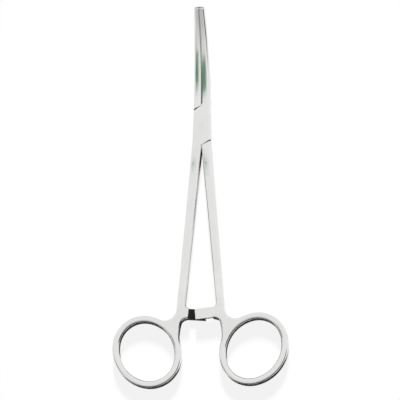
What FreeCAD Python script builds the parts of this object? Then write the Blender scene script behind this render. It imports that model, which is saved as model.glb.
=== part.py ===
"""Curved haemostatic forceps with a box lock, finger rings and a ratchet.

Frame: the forceps lie flat, the pivot axis is Z, the jaws point to +Y and curve up to +Z,
and Z = 0 is the plane that the lock and the rings rest on.  Millimetres throughout.

Each half is one forging: finger ring, ratchet bar, shank, its share of the box lock and a jaw.
The box half carries the two cheeks of the lock, the left ring and the right jaw.  The tongue
half passes between the cheeks, from the right ring to the left jaw.
"""
import FreeCAD, Part
import math
import os
import re

import Sketcher
from FreeCAD import Placement, Rotation, Vector

SIZES = {
    # finger rings: an oval of four arcs, its long axis turned from X
    "ring_reach": 96.0,
    "ring_spread": 22.6,
    "ring_long_half": 15.8,
    "ring_short_half": 14.1,
    "ring_end_share": 0.915,
    "ring_width": 2.8,
    "ring_turn": 58.0,
    "web_blend": 5.0,
    "ring_blend": 8.0,
    # box lock: the body that both halves share round the pin
    "lock_thick": 4.4,
    "lock_front": 9.0,
    "lock_rear": 6.2,
    "lock_front_half": 3.35,
    "lock_rear_half": 3.8,
    "cheek_thick": 1.4,
    "cheek_corner_reach": 6.1,
    "cheek_middle_reach": 8.5,
    "shoulder_corner_gap": 0.8,
    "shoulder_middle_gap": 0.08,
    "hub_radius": 5.4,
    "hub_gap": 0.1,
    "slot_gap": 0.04,
    "parting_gap": 0.03,
    # pin: riveted into countersinks and ground flush
    "pin_radius": 1.2,
    "pin_head_radius": 1.5,
    "pin_head_depth": 0.4,
    "pin_running_gap": 0.04,
    # shanks: waisted between the lock and the ratchet
    "crotch_reach": 9.9,
    "shank_end_width": 3.0,
    "shank_inset": 0.6,
    "neck_inset": 1.3,
    "neck_rise": 3.5,
    "neck_curve": 30.0,
    "waist_depth": 0.3,
    "waist_end_gap": 6.1,
    "waist_ramp": 12.0,
    # ratchet: bars in two layers, with saw teeth that face each other
    "ratchet_ahead": 15.9,
    "ratchet_height": 4.4,
    "ratchet_stub": 2.0,
    "ratchet_overlap": 2.1,
    "ratchet_droop": 5.0,
    "ratchet_gap": 0.1,
    "ratchet_pitch": 0.9,
    "ratchet_depth": 0.45,
    "ratchet_land": 0.09,
    "ratchet_flare_front": 0.7,
    "ratchet_flare_rear": 1.2,
    "ratchet_blend_front": 2.0,
    "ratchet_blend_rear": 2.4,
    # jaws: a D section that follows an arc and narrows to the tip
    "jaw_length": 41.3,
    "jaw_curve": 88.0,
    "jaw_belly": 0.2,
    "jaw_tip_width": 2.1,
    "jaw_tip_thick": 2.8,
    "jaw_tip_edge": 1.2,
    "tip_round": 0.7,
    # serrations: ridges across the jaws, which meet crest to crest when they close
    "tooth_pitch": 1.0,
    "tooth_depth": 0.34,
    "tooth_gap": 0.03,
    "tooth_land": 0.12,
    # rounded edges
    "edge_round": 0.9,
    "finger_round": 1.2,
}
JAW_SECTIONS = 5
# A rounded edge is three flats that touch its arc, turned from each other by this many degrees.
FLAT_TURN = 22.5

document = FreeCAD.newDocument("haemostatic_forceps")
sheet = document.addObject("Spreadsheet::Sheet", "size")
for row, (alias, value) in enumerate(SIZES.items(), start=1):
    cell = f"B{row}"
    sheet.set(cell, str(value))
    sheet.setAlias(cell, alias)
document.recompute()

ALIAS = re.compile(r"\b(" + "|".join(SIZES) + r")\b")


def over_sheet(text):
    """A formula as the document writes it, each size taken from the sheet."""
    return ALIAS.sub(r"size.\1", text)


def value_of(text):
    result = sheet.evalExpression(over_sheet(text))
    return float(getattr(result, "Value", result))


def bind(thing, path, text):
    """Set a property to a formula over the sheet."""
    thing.setExpression(path, over_sheet(text))


def new_sketch(body, name, plane, place=("0", "0", "0"), turn_axis=Vector(0, 0, 1), turn="0"):
    """A sketch on an origin plane of the body, moved and turned in that plane's own frame."""
    sketch = body.newObject("Sketcher::SketchObject", name)
    origin_plane = next(f for f in body.Origin.OriginFeatures if f.Role == plane)
    sketch.AttachmentSupport = [(origin_plane, "")]
    sketch.MapMode = "FlatFace"
    base = Vector(*[value_of(text) for text in place])
    sketch.AttachmentOffset = Placement(base, Rotation(turn_axis, value_of(turn) or 1e-9))
    for axis, text in zip("xyz", place):
        bind(sketch, f"AttachmentOffset.Base.{axis}", text)
    if turn != "0":
        bind(sketch, "AttachmentOffset.Rotation.Angle", turn)
    return sketch


def pin_point(sketch, edge, end, x, y):
    """Hold one end of an edge at a place given by two formulas."""
    for kind, text in (("DistanceX", x), ("DistanceY", y)):
        index = sketch.addConstraint(Sketcher.Constraint(kind, edge, end, value_of(text)))
        bind(sketch, f"Constraints[{index}]", text)


def arc_through(start, finish, radius):
    """The short arc from start to finish, to the left of its chord's centre if radius is positive."""
    chord = finish - start
    height = (radius * radius - chord.Length * chord.Length / 4) ** 0.5
    left = Vector(-chord.y, chord.x, 0).normalize()
    centre = (start + finish) / 2 + left * (height if radius > 0 else -height)
    middle = (start + finish) / 2 - centre
    return Part.Arc(start, centre + middle.normalize() * abs(radius), finish)


def outline(sketch, corners):
    """A closed outline through corners (x, y) or (x, y, radius of the arc that leaves it).

    A positive radius turns to the left along the way, a negative one to the right.
    """
    places = [Vector(value_of(corner[0]), value_of(corner[1]), 0) for corner in corners]
    ends = []
    for number, corner in enumerate(corners):
        start, finish = places[number], places[(number + 1) % len(corners)]
        if len(corner) == 2:
            edge = sketch.addGeometry(Part.LineSegment(start, finish))
            ends.append((edge, 1, 2))
            continue
        radius = value_of(corner[2])
        edge = sketch.addGeometry(arc_through(start, finish, radius))
        ends.append((edge, 1, 2) if radius > 0 else (edge, 2, 1))
        sign = "" if radius > 0 else "-"
        index = sketch.addConstraint(Sketcher.Constraint("Radius", edge, abs(radius)))
        bind(sketch, f"Constraints[{index}]", f"{sign}({corner[2]})")
    for number, corner in enumerate(corners):
        edge, first, _ = ends[number]
        before, _, last = ends[number - 1]
        sketch.addConstraint(Sketcher.Constraint("Coincident", before, last, edge, first))
        pin_point(sketch, edge, first, corner[0], corner[1])


def add_feature(body, kind, name, profile, **settings):
    feature = body.newObject("PartDesign::" + kind, name)
    feature.Profile = profile
    for prop, setting in settings.items():
        if prop == "Length":
            feature.Length = value_of(setting)
            bind(feature, prop, setting)
        else:
            setattr(feature, prop, setting)
    document.recompute()
    return feature


def mirrored(side, text):
    return f"({side}) * ({text})"


# Formulas that several outlines share, for a half with its jaw on +X and its ring on -X.
RING_HALF_X = "sqrt((ring_long_half * cos(ring_turn))^2 + (ring_short_half * sin(ring_turn))^2)"
RING_INNER_X = f"(ring_spread - {RING_HALF_X})"
SHANK_INNER_END = f"({RING_INNER_X} + shank_inset)"


def lock_side(y):
    """Half width of the lock at y."""
    fall = "(lock_rear_half - lock_front_half) / (lock_front + lock_rear)"
    return f"(lock_front_half + {fall} * (lock_front - ({y})))"


def shank_inner(reach):
    """Distance of the shank's inner edge from the middle plane, at a reach behind the pin."""
    slope = f"({SHANK_INNER_END} - parting_gap) / (ring_reach - crotch_reach)"
    return f"(parting_gap + {slope} * ({reach} - crotch_reach))"


RATCHET_REACH = "(ring_reach - ratchet_ahead)"
WAIST_REAR = f"({RATCHET_REACH} - waist_end_gap)"
RATCHET_ROOT = f"({shank_inner(RATCHET_REACH)} - ratchet_stub)"
# Half way along the end of a cheek, which is also where the shank's plan ends in the lock.
SHOULDER_MIDDLE = (f"({lock_side('cheek_corner_reach')} / 2)",
                   "((cheek_middle_reach + cheek_corner_reach) / 2)")


# About where the shank's outer edge meets the ring.
WEB_CORNER = ("-(ring_spread - ring_short_half * 4 / 5)", "(ring_short_half * 3 / 5 - ring_reach)")


def pad_shank(body, side):
    """Shank in plan, with the side of the lock that it runs into."""
    def x(text):
        return mirrored(side, text)

    neck = "-neck_curve" if side > 0 else "neck_curve"
    plan = new_sketch(body, "ShankPlan", "XY_Plane")
    outline(plan, [
        (x("-" + SHOULDER_MIDDLE[0]), SHOULDER_MIDDLE[1]),
        (x("-" + lock_side("cheek_corner_reach")), "cheek_corner_reach"),
        (x("-lock_rear_half"), "-lock_rear"),
        (x(f"-({SHANK_INNER_END} + shank_end_width)"), "-ring_reach"),
        (x(f"-({RING_INNER_X} + neck_inset)"), "-ring_reach"),
        (x(f"-({RING_INNER_X} + neck_inset)"), "neck_rise - ring_reach", neck),
        (x("-" + shank_inner(RATCHET_REACH)), "-" + RATCHET_REACH),
        (x("-" + shank_inner("lock_rear")), "-lock_rear"),
        (x("-" + SHOULDER_MIDDLE[0]), "-lock_rear"),
    ])
    return add_feature(body, "Pad", "Shank", plan, Length="lock_thick")


def pad_lock(body, side):
    """The rest of the lock in plan, with its outer edges rounded."""
    def x(text):
        return mirrored(side, text)

    plan = new_sketch(body, "LockPlan", "XY_Plane")
    outline(plan, [
        (x("lock_front_half"), "lock_front"),
        (x("parting_gap"), "lock_front"),
        (x("parting_gap"), "cheek_middle_reach"),
        (x("-" + SHOULDER_MIDDLE[0]), SHOULDER_MIDDLE[1]),
        (x("-(lock_rear_half - edge_round)"), "-lock_rear"),
        (x("-parting_gap"), "-cheek_middle_reach"),
        (x(lock_side("-cheek_corner_reach")), "-cheek_corner_reach"),
    ])
    add_feature(body, "Pad", "Lock", plan, Length="lock_thick")
    wall = (x(lock_side("0")), "0")
    return round_over(body, "LockRound", "edge_round",
                      rim_edges(body.Tip.Shape, lambda face: stands_on(face, [wall])))


def cut_crotch(body, side):
    """Cut the shank back to the parting plane where it runs past it, behind the lock."""
    def x(text):
        return mirrored(side, text)

    plan = new_sketch(body, "CrotchOutline", "XY_Plane")
    outline(plan, [
        (x("-parting_gap"), "-cheek_middle_reach"),
        (x("-parting_gap"), "-(crotch_reach + edge_round)"),
        (x(lock_side("-cheek_corner_reach")), "-(crotch_reach + edge_round)"),
        (x(lock_side("-cheek_corner_reach")), "-cheek_corner_reach"),
    ])
    return add_feature(body, "Pocket", "Crotch", plan, Type="ThroughAll", Midplane=True)


def cut_waist(body):
    """Thin the shank on both faces, with a smooth ramp at each end."""
    radius = "((waist_ramp^2 + waist_depth^2) / (4 * waist_depth))"
    for name, level, face in (("WaistTop", "lock_thick", 1), ("WaistUnder", "0", -1)):
        def z(depth):
            return f"({level} - ({face}) * ({depth}))"

        into, level_off = (radius, "-" + radius) if face > 0 else ("-" + radius, radius)
        profile = new_sketch(body, name + "Profile", "YZ_Plane")
        outline(profile, [
            ("-crotch_reach", z("0"), into),
            ("-(crotch_reach + waist_ramp / 2)", z("waist_depth / 2"), level_off),
            ("-(crotch_reach + waist_ramp)", z("waist_depth")),
            (f"-({WAIST_REAR} - waist_ramp)", z("waist_depth"), level_off),
            (f"-({WAIST_REAR} - waist_ramp / 2)", z("waist_depth / 2"), into),
            ("-" + WAIST_REAR, z("0")),
            ("-" + WAIST_REAR, z("-waist_depth")),
            ("-crotch_reach", z("-waist_depth")),
        ])
        add_feature(body, "Pocket", name, profile, Type="ThroughAll", Midplane=True)


def oval(sketch, long_half, short_half, end_radius):
    """An oval of four tangent arcs round the sketch's origin, its long axis along X."""
    flat_radius = (f"((({long_half})^2 + ({short_half})^2 - 2 * ({long_half}) * ({end_radius}))"
                   f" / (2 * (({short_half}) - ({end_radius}))))")
    share = f"({end_radius}) / ({flat_radius} - ({end_radius}))"
    along = f"(({long_half}) - ({end_radius})) * (1 + {share})"
    across = f"({flat_radius} - ({short_half})) * {share}"
    outline(sketch, [
        (along, "-" + across, end_radius),
        (along, across, flat_radius),
        ("-" + along, across, end_radius),
        ("-" + along, "-" + across, flat_radius),
    ])


def ring_sketch(body, name, side, inset):
    place = (mirrored(side, "-ring_spread"), "-ring_reach", "0")
    turn = f"90 + ({side}) * (90 - ring_turn)"
    sketch = new_sketch(body, name, "XY_Plane", place=place, turn=turn)
    end_radius = f"ring_end_share * ring_short_half - {inset}"
    oval(sketch, f"ring_long_half - {inset}", f"ring_short_half - {inset}", end_radius)
    return sketch


def pad_ring(body, side):
    disc = ring_sketch(body, "RingOutline", side, "0")
    return add_feature(body, "Pad", "RingBlank", disc, Length="lock_thick")


def cut_finger_hole(body, side):
    hole = ring_sketch(body, "FingerHoleOutline", side, "ring_width")
    return add_feature(body, "Pocket", "FingerHole", hole, Type="ThroughAll", Midplane=True)


def ratchet_sketch(body, name, side, height):
    """A sketch whose X runs along the bar from its root face to its free end."""
    place = (mirrored(side, "-" + RATCHET_ROOT), "-" + RATCHET_REACH, height)
    turn = "-ratchet_droop" if side > 0 else "180 + ratchet_droop"
    return new_sketch(body, name, "XY_Plane", place=place, turn=turn)


def pad_ratchet_root(body, side):
    root = ratchet_sketch(body, "RatchetRootPlan", side, "0")
    depth = "(ratchet_stub + shank_end_width / 2)"
    front, rear = ("front", "rear") if side > 0 else ("rear", "front")
    outline(root, [
        ("-" + depth, f"-ratchet_height / 2 - ratchet_flare_{rear}"),
        ("0", "-ratchet_height / 2"),
        ("0", "ratchet_height / 2"),
        ("-" + depth, f"ratchet_height / 2 + ratchet_flare_{front}"),
    ])
    return add_feature(body, "Pad", "RatchetRoot", root, Length="lock_thick")


def upright_edge_at(shape, x, y):
    """The edge along Z that stands nearest to a place in plan."""
    def distance(item):
        box = item[1].BoundBox
        if box.XLength > 0.01 or box.YLength > 0.01 or box.ZLength < 1:
            return float("inf")
        return Vector(box.XMin - value_of(x), box.YMin - value_of(y), 0).Length

    number, _ = min(enumerate(shape.Edges, start=1), key=distance)
    return f"Edge{number}"


def blend_upright(body, name, radius, x, y):
    """Blend the corner in plan that stands nearest to (x, y)."""
    edges = [upright_edge_at(body.Tip.Shape, x, y)]
    return dress(body, "Fillet", name, "Radius", radius, edges)


def dress(body, kind, name, prop, size, edges):
    base = body.Tip
    feature = body.newObject("PartDesign::" + kind, name)
    feature.Base = (base, edges)
    setattr(feature, prop, value_of(size))
    bind(feature, prop, size)
    document.recompute()
    return feature


def round_over(body, name, radius, edges):
    """Round edges: one flat at half the turn, then one more on each of its two corners."""
    dress(body, "Chamfer", name + "Flat", "Size",
          f"{radius} * (1 - tan({FLAT_TURN}))", edges)
    return dress(body, "Chamfer", name, "Size",
                 f"{radius} * (tan({FLAT_TURN}) - tan({FLAT_TURN} / 2))",
                 flat_corners(body.Tip.Shape))


def middle_of(edge):
    return edge.valueAt((edge.FirstParameter + edge.LastParameter) / 2)


def facing(face, place):
    """Which way a face points at a place on it."""
    return face.normalAt(*face.Surface.parameter(place))


def is_upright(face, place):
    return abs(facing(face, place).z) < 0.2


def flat_corners(shape):
    """Edges where a flat at 45 degrees meets the wall and the top that it was cut from."""
    names = []
    for number, edge in enumerate(shape.Edges, start=1):
        faces = shape.ancestorsOfType(edge, Part.Face)
        ways = [facing(face, middle_of(edge)) for face in faces]
        slopes = [math.degrees(math.asin(min(1, abs(way.z)))) for way in ways]
        if len(ways) == 2 and any(abs(slope - 2 * FLAT_TURN) < 5 for slope in slopes):
            turn = math.degrees(ways[0].getAngle(ways[1]))
            if abs(turn - 2 * FLAT_TURN) < 5:
                names.append(f"Edge{number}")
    return names


def rim_edges(shape, wanted):
    """Edges between an upright wall that is wanted and a face above or below it."""
    names = []
    for number, edge in enumerate(shape.Edges, start=1):
        walls = []
        tops = 0
        for face in shape.ancestorsOfType(edge, Part.Face):
            if is_upright(face, middle_of(edge)):
                walls.append(face)
            else:
                tops += 1
        if len(walls) == 1 and tops == 1 and wanted(walls[0]):
            names.append(f"Edge{number}")
    return names


def stands_on(face, places):
    """Whether an upright face passes through one of these places in plan, at mid thickness."""
    middle = value_of("lock_thick / 2")
    for x, y in places:
        mark = Part.Vertex(value_of(x), value_of(y), middle)
        if face.distToShape(mark)[0] < 0.01:
            return True
    return False


def blend_plan(body, side):
    """Soften the corners in plan: shank to ring on both sides, ratchet root and lock side."""
    def x(text):
        return mirrored(side, text)

    blend_upright(body, "WebBlend", "web_blend", x(WEB_CORNER[0]), WEB_CORNER[1])
    inner_x, inner_y = x(f"-({RING_INNER_X} + neck_inset)"), "neck_rise - ring_reach"
    blend_upright(body, "RingBlend", "ring_blend", inner_x, inner_y)
    front = f"-{RATCHET_REACH} + ratchet_height / 2 + ratchet_flare_front"
    rear = f"-{RATCHET_REACH} - ratchet_height / 2 - ratchet_flare_rear"
    at_shank = x("-" + shank_inner(RATCHET_REACH))
    blend_upright(body, "RatchetBlendFront", "ratchet_blend_front", at_shank, front)
    blend_upright(body, "RatchetBlendRear", "ratchet_blend_rear", at_shank, rear)


def round_rims(body, side):
    """Round the rims of the shank and the ring, but not of the faces that end in the lock."""
    def x(text):
        return mirrored(side, text)

    sharp = [
        (x("-" + SHOULDER_MIDDLE[0]), "0"),
        (x(f"-({SHOULDER_MIDDLE[0]} + {lock_side('cheek_corner_reach')}) / 2"),
         f"({SHOULDER_MIDDLE[1]} + cheek_corner_reach) / 2"),
        (x(f"-({SHOULDER_MIDDLE[0]} + {shank_inner('lock_rear')}) / 2"), "-lock_rear"),
        (x("-" + RATCHET_ROOT), "-" + RATCHET_REACH),
    ]
    edges = rim_edges(body.Tip.Shape, lambda face: not stands_on(face, sharp))
    return round_over(body, "RimRound", "edge_round", edges)


def round_finger_hole(body, side):
    centre = Vector(value_of(mirrored(side, "-ring_spread")), value_of("-ring_reach"), 0)
    reach = value_of("ring_long_half - ring_width") + 0.01

    def in_ring(wall):
        box = wall.BoundBox
        corners = [Vector(px, py, 0) for px in (box.XMin, box.XMax) for py in (box.YMin, box.YMax)]
        return min((c - centre).Length for c in corners) < reach and max(
            (v.Point - Vector(centre.x, centre.y, v.Z)).Length for v in wall.Vertexes) < reach

    edges = rim_edges(body.Tip.Shape, in_ring)
    return round_over(body, "FingerRound", "finger_round", edges)


JAW_ANGLE = "(jaw_length / jaw_curve * 180 / pi)"


def jaw_section(body, side, number):
    """One D section of the jaw, square to the arc that the jaw follows."""
    share = f"({number} / {JAW_SECTIONS - 1})"
    angle = f"({share} * {JAW_ANGLE})"
    place = ("0", f"lock_thick / 2 + jaw_curve * (1 - cos({angle}))",
             f"-(lock_front + jaw_curve * sin({angle}))")
    section = new_sketch(body, f"JawSection{number}", "XZ_Plane", place, Vector(1, 0, 0), angle)
    width = (f"(lock_front_half + (jaw_tip_width - lock_front_half) * {share}"
             f" + 4 * jaw_belly * {share} * (1 - {share}))")
    half = f"(lock_thick + (jaw_tip_thick - lock_thick) * {share}) / 2"
    edge = f"(edge_round + (jaw_tip_edge - edge_round) * {share})"

    def x(text):
        return mirrored(side, text)

    upper = []
    for step in range(4):
        turn = f"({FLAT_TURN} * ({step} + 1 / 2))"
        upper.append((x(f"{width} - {edge} * (1 - cos({turn}) / cos({FLAT_TURN} / 2))"),
                      f"({half} - {edge} * (1 - sin({turn}) / cos({FLAT_TURN} / 2)))"))
    upper.append((x("tooth_gap"), half))
    lower = [(across, "-" + height) for across, height in reversed(upper)]
    outline(section, lower + upper)
    return section


def loft_jaw(body, side):
    sections = [jaw_section(body, side, number) for number in range(JAW_SECTIONS)]
    jaw = body.newObject("PartDesign::AdditiveLoft", "Jaw")
    jaw.Profile = sections[0]
    jaw.Sections = sections[1:]
    document.recompute()
    return jaw


def round_tip(body, side):
    """Round the end of the jaw, all but its edge on the serrated face."""
    along = value_of(JAW_ANGLE)
    end = Rotation(Vector(1, 0, 0), along).multVec(Vector(0, 1, 0))
    reach = value_of(f"lock_front + jaw_curve * sin({JAW_ANGLE})")
    height = value_of(f"lock_thick / 2 + jaw_curve * (1 - cos({JAW_ANGLE}))")
    centre = Vector(0, reach, height)
    crest = side * value_of("tooth_gap")
    names = []
    for number, edge in enumerate(body.Tip.Shape.Edges, start=1):
        marks = [edge.valueAt(edge.FirstParameter), edge.valueAt(edge.LastParameter)]
        on_end = all(abs((mark - centre).dot(end)) < 0.01 for mark in marks)
        on_face = all(abs(mark.x - crest) < 0.01 for mark in marks)
        if on_end and not on_face:
            names.append(f"Edge{number}")
    return dress(body, "Fillet", "TipRound", "Radius", "tip_round", names)


def cut_serrations(body, side):
    """Notches across the jaw, square to its arc, with a narrow crest between each two."""
    start = "(tooth_pitch / 2 / jaw_curve * 180 / pi)"
    above = "(jaw_curve - lock_thick / 2 - tooth_pitch)"
    place = ("0", f"lock_front + {above} * sin({start})",
             f"lock_thick / 2 + jaw_curve - {above} * cos({start})")
    notch = new_sketch(body, "NotchOutline", "XY_Plane", place, Vector(1, 0, 0), start)

    def x(text):
        return mirrored(side, text)

    mouth_half = "(tooth_pitch - tooth_land) / 2 * (1 + tooth_gap / tooth_depth)"
    outline(notch, [
        (x("tooth_gap + tooth_depth"), "0"),
        ("0", mouth_half),
        ("0", "-" + mouth_half),
    ])
    cut = add_feature(body, "Pocket", "Notch", notch, Length="lock_thick + 2 * tooth_pitch")
    axis = new_sketch(body, "CurveAxis", "XY_Plane", ("0", "lock_front", "lock_thick / 2 + jaw_curve"))
    count = "floor(jaw_length / tooth_pitch - 1 / 2)"
    ridges = body.newObject("PartDesign::PolarPattern", "Serrations")
    ridges.Originals = [cut]
    ridges.Axis = (axis, ["H_Axis"])
    ridges.Occurrences = int(value_of(count))
    bind(ridges, "Occurrences", count)
    bind(ridges, "Angle", f"({count} - 1) * tooth_pitch / jaw_curve * 180 / pi")
    body.Tip = ridges
    document.recompute()
    return ridges


def pad_ratchet_bar(body, side):
    """The free half of the bar: the lower layer on the box half, the upper on the tongue half."""
    level = "0" if side > 0 else "(lock_thick + ratchet_gap) / 2"
    plan = ratchet_sketch(body, "RatchetBarPlan", side, level)
    outline(plan, [
        ("-ratchet_depth", "-ratchet_height / 2"),
        (RATCHET_ROOT + " + ratchet_overlap", "-ratchet_height / 2"),
        (RATCHET_ROOT + " + ratchet_overlap", "ratchet_height / 2"),
        ("-ratchet_depth", "ratchet_height / 2"),
    ])
    return add_feature(body, "Pad", "RatchetBar", plan, Length="(lock_thick - ratchet_gap) / 2")


def cut_ratchet_teeth(body, side):
    """Saw teeth on the face towards the other bar, steep on the side of their own shank."""
    level = f"(lock_thick - ({side}) * ratchet_gap) / 2"
    place = (mirrored(side, "-" + RATCHET_ROOT), level, RATCHET_REACH)
    turn = "-ratchet_droop" if side > 0 else "180 + ratchet_droop"
    notch = new_sketch(body, "ToothOutline", "XZ_Plane", place, Vector(0, 1, 0), turn)

    def y(text):
        return mirrored(side, text)

    outline(notch, [
        ("ratchet_land", y("ratchet_gap")),
        ("ratchet_land", "0"),
        ("ratchet_pitch", y("-ratchet_depth")),
        ("ratchet_pitch", y("ratchet_gap")),
    ])
    cut = add_feature(body, "Pocket", "Tooth", notch, Length="2 * ratchet_height", Midplane=True)
    count = f"floor(({RATCHET_ROOT} + ratchet_overlap) / ratchet_pitch)"
    teeth = body.newObject("PartDesign::LinearPattern", "RatchetTeeth")
    teeth.Originals = [cut]
    teeth.Direction = (notch, ["H_Axis"])
    teeth.Occurrences = int(value_of(count))
    bind(teeth, "Occurrences", count)
    bind(teeth, "Length", f"({count} - 1) * ratchet_pitch")
    body.Tip = teeth
    document.recompute()
    return teeth


LOCK_BEYOND = "(2 * lock_rear_half)"


def quarter(radius, sign):
    """Where an arc round the pin meets the parting plane."""
    return f"{sign}sqrt(({radius})^2 - parting_gap^2)"


def cut_slot(body):
    """The slot between the cheeks, open to both sides and round the hub of the tongue."""
    slot = new_sketch(body, "SlotOutline", "XY_Plane", ("0", "0", "lock_thick - cheek_thick"))
    radius = "(hub_radius + hub_gap)"
    outline(slot, [
        ("parting_gap", "lock_front"),
        ("parting_gap", quarter(radius, ""), "-" + radius),
        (radius, "0"),
        (LOCK_BEYOND, "0"),
        (LOCK_BEYOND, "-lock_front"),
        ("-parting_gap", "-lock_front"),
        ("-parting_gap", quarter(radius, "-"), "-" + radius),
        ("-" + radius, "0"),
        ("-" + LOCK_BEYOND, "0"),
        ("-" + LOCK_BEYOND, "lock_front"),
    ])
    return add_feature(body, "Pocket", "Slot", slot, Length="lock_thick - 2 * cheek_thick")


def pin_outline(sketch):
    """Half section of the pin: a shank with a countersunk head at each face."""
    outline(sketch, [
        ("0", "0"),
        ("pin_head_radius", "0"),
        ("pin_radius", "pin_head_depth"),
        ("pin_radius", "lock_thick - pin_head_depth"),
        ("pin_head_radius", "lock_thick"),
        ("0", "lock_thick"),
    ])


def cut_pin_seat(body):
    """The hole that the pin is riveted into."""
    seat = new_sketch(body, "PinSeatProfile", "XZ_Plane")
    pin_outline(seat)
    return add_feature(body, "Groove", "PinSeat", seat, ReferenceAxis=(seat, ["V_Axis"]), Angle=360)


def cut_hub(body):
    """Round off the tongue where it turns inside the slot, on the sides away from its necks.

    The first outline clears the jaw end of the lock, the second its ring end.
    """
    relief = new_sketch(body, "HubRelief", "XY_Plane")
    for sign, other in (("", "-"), ("-", "")):
        outline(relief, [
            (f"{other}parting_gap", f"{sign}lock_front"),
            (f"{sign}{LOCK_BEYOND}", f"{sign}lock_front"),
            (f"{sign}{LOCK_BEYOND}", "0"),
            (f"{sign}hub_radius", "0", "hub_radius"),
            (f"{other}parting_gap", quarter("hub_radius", sign)),
        ])
    return add_feature(body, "Pocket", "Hub", relief, Type="ThroughAll", Midplane=True)


def thin_tongue(body):
    """Thin the tongue on both faces, between the shoulders that face the cheeks' ends."""
    fall = (f"((cheek_middle_reach + shoulder_middle_gap - cheek_corner_reach - shoulder_corner_gap)"
            f" / {lock_side('cheek_corner_reach')})")
    middle = "(cheek_middle_reach + shoulder_middle_gap)"
    for name, level in (("TongueUpper", "lock_thick"), ("TongueLower", "cheek_thick + slot_gap")):
        faces = new_sketch(body, name + "Outline", "XY_Plane", ("0", "0", level))
        outline(faces, [
            ("-" + LOCK_BEYOND, f"{middle} - {fall} * {LOCK_BEYOND}"),
            ("-" + LOCK_BEYOND, f"-{middle} - {fall} * {LOCK_BEYOND}"),
            (LOCK_BEYOND, f"{fall} * {LOCK_BEYOND} - {middle}"),
            (LOCK_BEYOND, f"{fall} * {LOCK_BEYOND} + {middle}"),
        ])
        add_feature(body, "Pocket", name, faces, Length="cheek_thick + slot_gap")


def cut_pin_bore(body):
    """The bore of the tongue, which turns on the pin."""
    bore = new_sketch(body, "PinBoreOutline", "XY_Plane")
    circle = bore.addGeometry(Part.Circle(Vector(0, 0, 0), Vector(0, 0, 1), value_of("pin_radius")))
    bore.addConstraint(Sketcher.Constraint("Coincident", circle, 3, -1, 1))
    index = bore.addConstraint(Sketcher.Constraint("Radius", circle, value_of("pin_radius")))
    bind(bore, f"Constraints[{index}]", "pin_radius + pin_running_gap")
    return add_feature(body, "Pocket", "PinBore", bore, Type="ThroughAll", Midplane=True)


def make_half(name, side):
    body = document.addObject("PartDesign::Body", name)
    body.Label = name
    pad_shank(body, side)
    cut_waist(body)
    pad_ring(body, side)
    pad_ratchet_root(body, side)
    blend_plan(body, side)
    round_rims(body, side)
    cut_finger_hole(body, side)
    round_finger_hole(body, side)
    pad_lock(body, side)
    cut_crotch(body, side)
    loft_jaw(body, side)
    round_tip(body, side)
    pad_ratchet_bar(body, side)
    cut_ratchet_teeth(body, side)
    cut_serrations(body, side)
    return body


def make_box_half():
    body = make_half("box_half", 1)
    cut_slot(body)
    cut_pin_seat(body)
    return body


def make_tongue_half():
    body = make_half("tongue_half", -1)
    cut_hub(body)
    thin_tongue(body)
    cut_pin_bore(body)
    return body


def make_pin():
    body = document.addObject("PartDesign::Body", "pivot_pin")
    body.Label = "pivot_pin"
    section = new_sketch(body, "PinProfile", "XZ_Plane")
    pin_outline(section)
    add_feature(body, "Revolution", "Pin", section, ReferenceAxis=(section, ["V_Axis"]), Angle=360)
    return body


PIECES = [make_box_half(), make_tongue_half(), make_pin()]
document.recompute()
for thing in document.Objects:
    if "Invalid" in thing.State or "Error" in thing.State:
        raise ValueError(f"{thing.Name} is not built: {thing.State}")
for piece in PIECES:
    if piece.Shape.isNull() or not piece.Shape.isValid():
        raise ValueError(f"{piece.Label} has no valid shape")

os.makedirs("parts", exist_ok=True)
for piece in PIECES:
    piece.Shape.exportStep(f"parts/{piece.Label}.step")
    box = piece.Shape.BoundBox
    print(f"{piece.Label}: {piece.Shape.Volume:.1f} mm3, {len(piece.Shape.Solids)} solid,"
          f" {box.XLength:.2f} x {box.YLength:.2f} x {box.ZLength:.2f} mm")
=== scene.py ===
"""Looks of a pair of curved haemostatic forceps: satin steel on a white table, seen from above.

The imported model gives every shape.  This script softens its edges a little further, gives the
three pieces their steel, and sets up the table, the light and the camera.  Metres throughout.
"""
import math

import bmesh
import bpy
from mathutils import Matrix, Vector


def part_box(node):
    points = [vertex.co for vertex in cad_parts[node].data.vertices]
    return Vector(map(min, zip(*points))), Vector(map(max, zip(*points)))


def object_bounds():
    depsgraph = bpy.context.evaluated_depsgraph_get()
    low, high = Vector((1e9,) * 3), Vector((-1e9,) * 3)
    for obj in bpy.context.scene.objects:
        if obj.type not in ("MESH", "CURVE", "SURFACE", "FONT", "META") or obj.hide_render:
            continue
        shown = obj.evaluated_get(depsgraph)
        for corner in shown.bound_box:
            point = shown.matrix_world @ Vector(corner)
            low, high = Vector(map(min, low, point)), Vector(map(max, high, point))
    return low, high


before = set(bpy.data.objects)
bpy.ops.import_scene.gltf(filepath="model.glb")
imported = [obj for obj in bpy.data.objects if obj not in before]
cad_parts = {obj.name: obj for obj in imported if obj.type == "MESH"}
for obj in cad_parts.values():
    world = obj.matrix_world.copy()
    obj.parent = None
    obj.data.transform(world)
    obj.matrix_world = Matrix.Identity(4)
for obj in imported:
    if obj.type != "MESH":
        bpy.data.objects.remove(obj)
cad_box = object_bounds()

MM = 0.001

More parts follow.
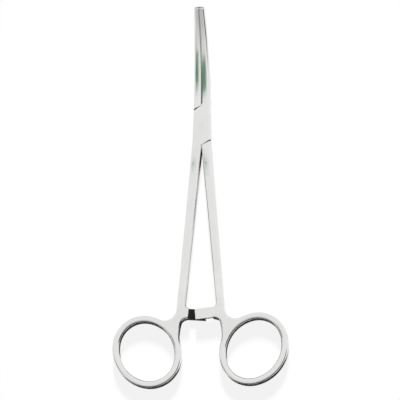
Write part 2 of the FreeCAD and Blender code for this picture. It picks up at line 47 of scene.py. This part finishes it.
# Places on the forceps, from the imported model: the pin stands through the lock, on the Z axis.
PIN_LOW, PIN_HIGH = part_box("pivot_pin")
LOCK_THICK = PIN_HIGH.z - PIN_LOW.z
MID_HEIGHT = (PIN_HIGH.z + PIN_LOW.z) / 2
LOCK_FRONT = 9.0 * MM
LOCK_REACH = 9.7 * MM
CHEEK_THICK = 1.4 * MM
RATCHET_MIDDLE = -80.3 * MM
RATCHET_HALF_WIDTH = 3.2 * MM
RATCHET_HALF_LENGTH = 6.0 * MM
RATCHET_TOOTH_DEPTH = 0.45 * MM
# The jaws follow an arc that starts at the front of the lock, with the serrations evenly along it.
# Those of the two jaws meet crest to crest, with a small gap between them.
JAW_CURVE = 88.0 * MM
JAW_LENGTH = 41.3 * MM
SERRATION_PITCH = 1.0 * MM
SERRATION_DEPTH = 0.34 * MM
CREST_GAP = 0.06 * MM


# Nodes

def feed(tree, socket, given):
    """Link a socket to another, or set its value.  A colour may be given without its alpha."""
    if isinstance(given, bpy.types.NodeSocket):
        tree.links.new(given, socket)
    elif socket.type == "RGBA":
        socket.default_value = (*given[:3], 1.0)
    else:
        socket.default_value = given


def add_node(tree, kind, settings=None, **inputs):
    """A node with its properties set and its inputs fed.

    An input is given by its name with _ for a space, or as i and its number.
    """
    node = tree.nodes.new("ShaderNode" + kind)
    for name, setting in (settings or {}).items():
        setattr(node, name, setting)
    for name, given in inputs.items():
        if name[0] == "i" and name[1:].isdigit():
            socket = node.inputs[int(name[1:])]
        else:
            label = name.replace("_", " ")
            socket = next(s for s in node.inputs if s.name == label and s.enabled)
        feed(tree, socket, given)
    return node


def calculate(tree, operation, *values):
    numbered = {f"i{number}": value for number, value in enumerate(values)}
    return add_node(tree, "Math", {"operation": operation}, **numbered).outputs[0]


def vector_step(tree, operation, **inputs):
    return add_node(tree, "VectorMath", {"operation": operation}, **inputs).outputs[0]


def product(tree, *values):
    result = values[0]
    for value in values[1:]:
        result = calculate(tree, "MULTIPLY", result, value)
    return result


def greatest(tree, *values):
    result = values[0]
    for value in values[1:]:
        result = calculate(tree, "MAXIMUM", result, value)
    return result


def one_less(tree, value):
    return calculate(tree, "SUBTRACT", 1.0, value)


def distance(tree, value, place=0.0):
    return calculate(tree, "ABSOLUTE", calculate(tree, "SUBTRACT", value, place))


def within(tree, value, limit):
    return calculate(tree, "LESS_THAN", value, limit)


def beyond(tree, value, limit):
    return calculate(tree, "GREATER_THAN", value, limit)


def smooth_step(tree, value, start, finish):
    """Rises from 0 at start to 1 at finish."""
    settings = {"interpolation_type": "SMOOTHSTEP"}
    node = add_node(tree, "MapRange", settings, Value=value, From_Min=start, From_Max=finish)
    return node.outputs["Result"]


def swing(tree, noise, reach, level):
    """A level that a noise moves up and down, by half of reach at most."""
    return calculate(tree, "MULTIPLY_ADD", calculate(tree, "SUBTRACT", noise, 0.5), reach, level)


def blend_colours(tree, share, first, second):
    node = add_node(tree, "Mix", {"data_type": "RGBA"}, i0=share)
    colours = [socket for socket in node.inputs if socket.type == "RGBA"]
    feed(tree, colours[0], first)
    feed(tree, colours[1], second)
    return next(socket for socket in node.outputs if socket.type == "RGBA")


def new_group(name, inputs, outputs):
    """A shader node group with number inputs (name: default) and outputs, and its two end nodes."""
    group = bpy.data.node_groups.new(name, "ShaderNodeTree")
    for label, default in inputs.items():
        socket = group.interface.new_socket(label, in_out="INPUT", socket_type="NodeSocketFloat")
        socket.default_value = default
    for label in outputs:
        group.interface.new_socket(label, in_out="OUTPUT", socket_type="NodeSocketFloat")
    return group, group.nodes.new("NodeGroupInput"), group.nodes.new("NodeGroupOutput")


def place_group(tree, group, **values):
    node = tree.nodes.new("ShaderNodeGroup")
    node.node_tree = group
    for label, given in values.items():
        feed(tree, node.inputs[label.replace("_", " ")], given)
    return node.outputs


# Edges

WELD_REACH = 0.001 * MM
CORNER_ANGLE = math.radians(17)
CORNER_WIDTH = 0.10 * MM
CORNER_SEGMENTS = 2


def soften(piece):
    """Take the sharpness off the flats of the rounded edges, as tumbling and polishing do."""
    weld = piece.modifiers.new("join_triangles", "WELD")
    weld.merge_threshold = WELD_REACH
    bevel = piece.modifiers.new("polished_corners", "BEVEL")
    bevel.limit_method = "ANGLE"
    bevel.angle_limit = CORNER_ANGLE
    bevel.width = CORNER_WIDTH
    bevel.segments = CORNER_SEGMENTS
    bevel.harden_normals = True


# Steel

LINES_PER_MM = 9.0
MOTTLE_MM = 7.0
# The lines run along the forceps, so their noise is stretched along Y.
LINE_STRETCH = (1.0, 0.06, 1.0)
SCRATCH_AMOUNT = 0.6
SCRATCH_ANGLES = (18, 74, 141)
SCRATCH_STRETCH = (0.35, 14.0, 3.0)
SCRATCH_SHIFT = 37.0
SCRATCH_SCALE = 0.6
SCRATCH_FROM, SCRATCH_FULL = 0.74, 0.80


def place_in_mm(group):
    place = add_node(group, "TexCoord").outputs["Object"]
    return vector_step(group, "SCALE", Vector=place, Scale=1 / MM)


def satin_grain():
    """Fine lines that polishing leaves along the forceps, over a slow mottle."""
    sizes = {"Lines per mm": LINES_PER_MM, "Mottle mm": MOTTLE_MM}
    group, given, out = new_group("satin_grain", sizes, ("Lines", "Mottle"))
    in_mm = place_in_mm(group)
    stretched = vector_step(group, "MULTIPLY", i0=in_mm, i1=LINE_STRETCH)
    fineness = given.outputs["Lines per mm"]
    lines = add_node(group, "TexNoise", Vector=stretched, Scale=fineness, Detail=2.0, Roughness=0.6)
    coarseness = calculate(group, "DIVIDE", 1.0, given.outputs["Mottle mm"])
    mottle = add_node(group, "TexNoise", Vector=in_mm, Scale=coarseness, Detail=3.0, Roughness=0.55)
    group.links.new(lines.outputs[0], out.inputs["Lines"])
    group.links.new(mottle.outputs[0], out.inputs["Mottle"])
    return group


def hairline_scratches():
    """Sparse short scratches from handling and from the tray, at three angles."""
    amounts = {"Amount": SCRATCH_AMOUNT}
    group, given, out = new_group("hairline_scratches", amounts, ("Scratches",))
    in_mm = place_in_mm(group)
    scratches = []
    for number, angle in enumerate(SCRATCH_ANGLES):
        turn = add_node(group, "VectorRotate", {"rotation_type": "Z_AXIS"},
                        Vector=in_mm, Angle=math.radians(angle))
        shifted = vector_step(group, "MULTIPLY_ADD", i0=turn.outputs[0], i1=SCRATCH_STRETCH,
                              i2=(SCRATCH_SHIFT * number, 0, 0))
        noise = add_node(group, "TexNoise", Vector=shifted, Scale=SCRATCH_SCALE, Detail=1.0)
        scratches.append(smooth_step(group, noise.outputs[0], SCRATCH_FROM, SCRATCH_FULL))
    amount = product(group, greatest(group, *scratches), given.outputs["Amount"])
    group.links.new(amount, out.inputs["Scratches"])
    return group


# How level a face is, from 0 for upright to 1: the least for the lock's inner faces and for the
# ratchet's tooth flanks, and the most for the walls of the serrations.
LOCK_FACE_LEVEL = 0.7
TOOTH_LEVEL = 0.05
GROOVE_LEVEL = 0.6
LOCK_FACE_MARGIN = 0.15 * MM
TOOTH_MARGIN = 0.12 * MM
GROOVE_DARK_SHARE = 0.6
MOUTH_HALF_WIDTH = 0.44 * MM
MOUTH_HALF_LENGTH = 0.26 * MM
MOUTH_EDGE = (0.8, 1.1)
TIP_END_LENGTH = 0.35 * MM
TIP_END_SHARE = 0.6


def serration_painted_shade(group, x, y, z, level):
    """Painted shade in the serrations: dark at the bottom of the grooves, not on the crests, with
    dark ovals round their mouths and a share on the tip ends.
    """
    turn = calculate(group, "ARCTAN2", calculate(group, "SUBTRACT", y, LOCK_FRONT),
                     calculate(group, "SUBTRACT", MID_HEIGHT + JAW_CURVE, z))
    along_jaw = product(group, turn, JAW_CURVE)
    step = calculate(group, "FRACT", calculate(group, "DIVIDE", along_jaw, SERRATION_PITCH))
    from_notch = product(group, calculate(group, "SUBTRACT", step, 0.5), SERRATION_PITCH)
    off_parting = distance(group, x)
    wide = calculate(group, "DIVIDE", off_parting, MOUTH_HALF_WIDTH)
    long = calculate(group, "DIVIDE", from_notch, MOUTH_HALF_LENGTH)
    oval = calculate(group, "ADD", product(group, wide, wide), product(group, long, long))
    # Painted shade: a dark oval round the mouth of each notch.
    mouth = one_less(group, smooth_step(group, oval, *MOUTH_EDGE))
    groove = product(group,
                     smooth_step(group, off_parting, CREST_GAP, SERRATION_DEPTH * GROOVE_DARK_SHARE),
                     within(group, off_parting, SERRATION_DEPTH + CREST_GAP),
                     within(group, level, GROOVE_LEVEL))
    # Painted shade on the tip ends, TIP_END_SHARE deep.
    tip_end = smooth_step(group, along_jaw, JAW_LENGTH - TIP_END_LENGTH, JAW_LENGTH)
    on_jaw = greatest(group, mouth, groove, product(group, tip_end, TIP_END_SHARE))
    return product(group, beyond(group, y, LOCK_FRONT), on_jaw)


def painted_shade_places():
    """Painted shade: a near-black mask that stands in for the shade and dark reflections in the box
    lock, on the ratchet teeth, in the serrations and on the tip ends.
    """
    group, _, out = new_group("painted_shade_places", {}, ("Mask",))
    coordinates = add_node(group, "TexCoord").outputs
    x, y, z = add_node(group, "SeparateXYZ", Vector=coordinates["Object"]).outputs
    facing = add_node(group, "SeparateXYZ", Vector=coordinates["Normal"]).outputs
    level = distance(group, facing[2])
    off_middle = distance(group, z, MID_HEIGHT)
    in_lock = product(group,
                      within(group, distance(group, y), LOCK_REACH),
                      within(group, off_middle, LOCK_THICK / 2 - CHEEK_THICK + LOCK_FACE_MARGIN),
                      beyond(group, level, LOCK_FACE_LEVEL))
    on_teeth = product(group,
                       within(group, distance(group, y, RATCHET_MIDDLE), RATCHET_HALF_WIDTH),
                       within(group, distance(group, x), RATCHET_HALF_LENGTH),
                       within(group, off_middle, RATCHET_TOOTH_DEPTH + TOOTH_MARGIN),
                       beyond(group, level, TOOTH_LEVEL))
    painted_shade_mask = greatest(group, in_lock, on_teeth, serration_painted_shade(group, x, y, z, level))
    group.links.new(painted_shade_mask, out.inputs["Mask"])
    return group


GRAIN = satin_grain()
SCRATCHES = hairline_scratches()
# Painted shade: the mask and its near-black colour stand in for shade and dark reflections; the
# raised roughness there is the steel's own.
PAINTED_SHADE = painted_shade_places()
PAINTED_SHADE_COLOUR = (0.035, 0.038, 0.038)
SHADED_PLACES_ROUGHNESS = 0.45
# The mottle takes the steel's colour from a little deeper to a little paler.
PALER, DEEPER = 1.015, 0.97
MOTTLE_EDGE = (0.35, 0.65)
# How far the mottle, the lines and the scratches swing the roughness.
MOTTLE_ROUGHNESS, LINE_ROUGHNESS, SCRATCH_ROUGHNESS = 0.10, 0.08, 0.12
LINE_HEIGHT = 0.3
BUMP_STRENGTH, BUMP_DEPTH = 0.12, 0.01 * MM


def satin_steel(name, colour, roughness):
    material = bpy.data.materials.new(name)
    material.use_nodes = True
    tree = material.node_tree
    shader = tree.nodes["Principled BSDF"]
    lines, mottle = place_group(tree, GRAIN, Lines_per_mm=LINES_PER_MM, Mottle_mm=MOTTLE_MM)
    scratches = place_group(tree, SCRATCHES, Amount=SCRATCH_AMOUNT)[0]
    painted_shade_mask = place_group(tree, PAINTED_SHADE)[0]

    pale = [part * PALER for part in colour]
    deep = [part * DEEPER for part in colour]
    polished = blend_colours(tree, smooth_step(tree, mottle, *MOTTLE_EDGE), deep, pale)
    # Painted shade: the mask blends the steel's colour towards near-black.
    feed(tree, shader.inputs["Base Color"], blend_colours(tree, painted_shade_mask, polished, PAINTED_SHADE_COLOUR))

    rough = swing(tree, mottle, MOTTLE_ROUGHNESS, roughness)
    rough = swing(tree, lines, LINE_ROUGHNESS, rough)
    rough = calculate(tree, "MULTIPLY_ADD", scratches, SCRATCH_ROUGHNESS, rough)
    rough = greatest(tree, rough, product(tree, painted_shade_mask, SHADED_PLACES_ROUGHNESS))
    feed(tree, shader.inputs["Roughness"], rough)
    shader.inputs["Metallic"].default_value = 1.0

    height = calculate(tree, "SUBTRACT", product(tree, lines, LINE_HEIGHT), scratches)
    bump = add_node(tree, "Bump", Strength=BUMP_STRENGTH, Distance=BUMP_DEPTH, Height=height)
    feed(tree, shader.inputs["Normal"], bump.outputs["Normal"])
    return material


STEEL = {
    "box_half": (0.79, 0.79, 0.78),
    "tongue_half": (0.79, 0.79, 0.78),
    "pivot_pin": (0.77, 0.77, 0.76),
}
SATIN = 0.17
FORGED = ("box_half", "tongue_half")


def finish_pieces():
    for node_name, colour in STEEL.items():
        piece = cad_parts[node_name]
        steel = satin_steel(node_name + "_steel", colour, SATIN)
        for slot in piece.material_slots:
            slot.material = steel
        if node_name in FORGED:
            soften(piece)


# Camera

# It looks down from the ring end and a little from the right, from far off.
VIEW_ACROSS = 0.170
VIEW_ALONG = -0.218
VIEW_DISTANCE = 8.0
CAMERA_ROLL = math.radians(0.42)
PHOTO_SIZE = 400
PIXELS_PER_MM = 2.395
PIN_PIXEL = (201.4, 125.0)
SENSOR = 36.0


def add_camera():
    back = Vector((VIEW_ACROSS, VIEW_ALONG, math.sqrt(1 - VIEW_ACROSS**2 - VIEW_ALONG**2)))
    up = (Vector((0, 1, 0)) - VIEW_ALONG * back).normalized()
    right = up.cross(back)
    roll = Matrix.Rotation(CAMERA_ROLL, 3, back)
    right = roll @ right
    up = roll @ up
    pixel = MM / PIXELS_PER_MM
    pin_right = (PIN_PIXEL[0] - PHOTO_SIZE / 2) * pixel
    pin_down = (PIN_PIXEL[1] - PHOTO_SIZE / 2) * pixel
    pin_top = Vector(((PIN_LOW.x + PIN_HIGH.x) / 2, (PIN_LOW.y + PIN_HIGH.y) / 2, PIN_HIGH.z))
    data = bpy.data.cameras.new("camera")
    data.sensor_width = SENSOR
    data.lens = SENSOR * VIEW_DISTANCE / (PHOTO_SIZE * pixel)
    data.clip_start = VIEW_DISTANCE / 100
    data.clip_end = VIEW_DISTANCE * 3
    camera = bpy.data.objects.new("camera", data)
    bpy.context.scene.collection.objects.link(camera)
    place = Matrix((right, up, back)).transposed().to_4x4()
    place.translation = pin_top - right * pin_right + up * pin_down + back * VIEW_DISTANCE
    camera.matrix_world = place
    bpy.context.scene.camera = camera


# Table

TABLE_HALF = 6.0
PAPER = 0.92
# The share of the table's white that it gives off by itself, which keeps its shadows faint.
PAPER_GLOW = 0.88


def table_paper():
    """White by its own colour, but for the camera mostly by a glow of its own."""
    material = bpy.data.materials.new("table_paper")
    material.use_nodes = True
    tree = material.node_tree
    shader = tree.nodes["Principled BSDF"]
    seen = add_node(tree, "LightPath").outputs["Is Camera Ray"]
    colour = blend_colours(tree, seen, (PAPER,) * 3, (1 - PAPER_GLOW,) * 3)
    feed(tree, shader.inputs["Base Color"], colour)
    feed(tree, shader.inputs["Emission Color"], (1, 1, 1))
    feed(tree, shader.inputs["Emission Strength"], product(tree, seen, PAPER_GLOW))
    shader.inputs["Roughness"].default_value = 1.0
    shader.inputs["Specular IOR Level"].default_value = 0.0
    return material


def add_table():
    shape = bmesh.new()
    bmesh.ops.create_grid(shape, x_segments=1, y_segments=1, size=TABLE_HALF)
    bmesh.ops.translate(shape, verts=shape.verts, vec=(0, 0, cad_box[0].z))
    mesh = bpy.data.meshes.new("table")
    shape.to_mesh(mesh)
    shape.free()
    mesh.materials.append(table_paper())
    table = bpy.data.objects.new("table", mesh)
    bpy.context.scene.collection.objects.link(table)


# Light

# A dark wall low down on the camera's side, which the steel mirrors.
DARK_WAY = math.radians(-75)
DARK_HALF = math.radians(76)
DARK_SOFT = math.radians(4)
DARK_TOP = math.radians(24)
DARK_DEPTH = 0.97
# Above the wall the room gets dimmer towards the ring end.
DUSK_EDGE = (0.1, 0.6)
DUSK_DEPTH = 0.4
# A green card overhead, given by the sideways parts of the way to it.  The curved jaws mirror it.
CARD_ACROSS = (-0.83, -0.10)
CARD_ALONG = (-0.22, 0.11)
CARD_SOFT = 0.025
CARD_COLOUR = (0.13, 0.27, 0.16)
# The level at which the room lights the table, beside the lamp.
ROOM_ON_TABLE = 0.04
# Keeps a share from being divided by nothing straight overhead.
LEAST_FLAT = 1e-4


def dark_wall(tree, x, y, z):
    """How dark the room is towards the way x, y, z, from 0 to DARK_DEPTH."""
    flat = calculate(tree, "SQRT", calculate(tree, "ADD", product(tree, x, x), product(tree, y, y)))
    sideways = product(tree, y, math.sin(DARK_WAY))
    toward = calculate(tree, "MULTIPLY_ADD", x, math.cos(DARK_WAY), sideways)
    toward_share = calculate(tree, "DIVIDE", toward, greatest(tree, flat, LEAST_FLAT))
    wall_end = math.cos(DARK_HALF + DARK_SOFT)
    wall_full = math.cos(DARK_HALF - DARK_SOFT)
    wide = smooth_step(tree, toward_share, wall_end, wall_full)
    above = smooth_step(tree, z, math.sin(DARK_TOP - DARK_SOFT), math.sin(DARK_TOP + DARK_SOFT))
    return product(tree, wide, one_less(tree, above), DARK_DEPTH)


def between(tree, value, start, end):
    """1 between start and end, with edges as soft as the card's."""
    entered = smooth_step(tree, value, start - CARD_SOFT, start + CARD_SOFT)
    left = smooth_step(tree, value, end - CARD_SOFT, end + CARD_SOFT)
    return calculate(tree, "SUBTRACT", entered, left)


def light_room():
    """White all round as the steel mirrors it, but for the dark wall, the dusk and the card."""
    world = bpy.data.worlds.new("studio")
    bpy.context.scene.world = world
    world.use_nodes = True
    tree = world.node_tree
    tree.nodes.clear()
    way = add_node(tree, "TexCoord").outputs["Generated"]
    x, y, z = add_node(tree, "SeparateXYZ", Vector=way).outputs
    path = add_node(tree, "LightPath").outputs
    mirror = path["Is Glossy Ray"]

    dusk = product(tree, smooth_step(tree, product(tree, y, -1.0), *DUSK_EDGE), DUSK_DEPTH)
    mirrored = product(tree, one_less(tree, dark_wall(tree, x, y, z)), one_less(tree, dusk))
    # What the steel throws on to the table is left out, so that the table beside it can be dark.
    straight = within(tree, path["Diffuse Depth"], 0.5)
    on_steel = product(tree, mirror, straight, mirrored)
    strength = greatest(tree, on_steel, path["Is Camera Ray"], ROOM_ON_TABLE)

    in_card = product(tree, between(tree, x, *CARD_ACROSS), between(tree, y, *CARD_ALONG),
                      beyond(tree, z, 0.0), mirror)
    colour = blend_colours(tree, in_card, (1, 1, 1), CARD_COLOUR)
    background = add_node(tree, "Background", Color=colour, Strength=strength)
    output = add_node(tree, "OutputWorld")
    tree.links.new(background.outputs[0], output.inputs["Surface"])


LAMP_WAY = math.radians(88)
LAMP_HEIGHT = math.radians(27)
LAMP_SOFTNESS = math.radians(10)
LAMP_ON_TABLE = 1.0 - ROOM_ON_TABLE


def add_lamp():
    """A soft lamp beyond the jaws.  The steel doesn't mirror it, only the room and the lit table."""
    data = bpy.data.lights.new("softbox", "SUN")
    data.energy = math.pi * LAMP_ON_TABLE / math.sin(LAMP_HEIGHT)
    data.angle = LAMP_SOFTNESS
    lamp = bpy.data.objects.new("softbox", data)
    bpy.context.scene.collection.objects.link(lamp)
    lamp.visible_glossy = False
    flat = math.cos(LAMP_HEIGHT)
    back = Vector((math.cos(LAMP_WAY) * flat, math.sin(LAMP_WAY) * flat, math.sin(LAMP_HEIGHT)))
    lamp.rotation_euler = back.to_track_quat("Z", "Y").to_euler()


finish_pieces()
add_camera()
add_table()
light_room()
add_lamp()
bpy.context.scene.view_settings.view_transform = "Standard"
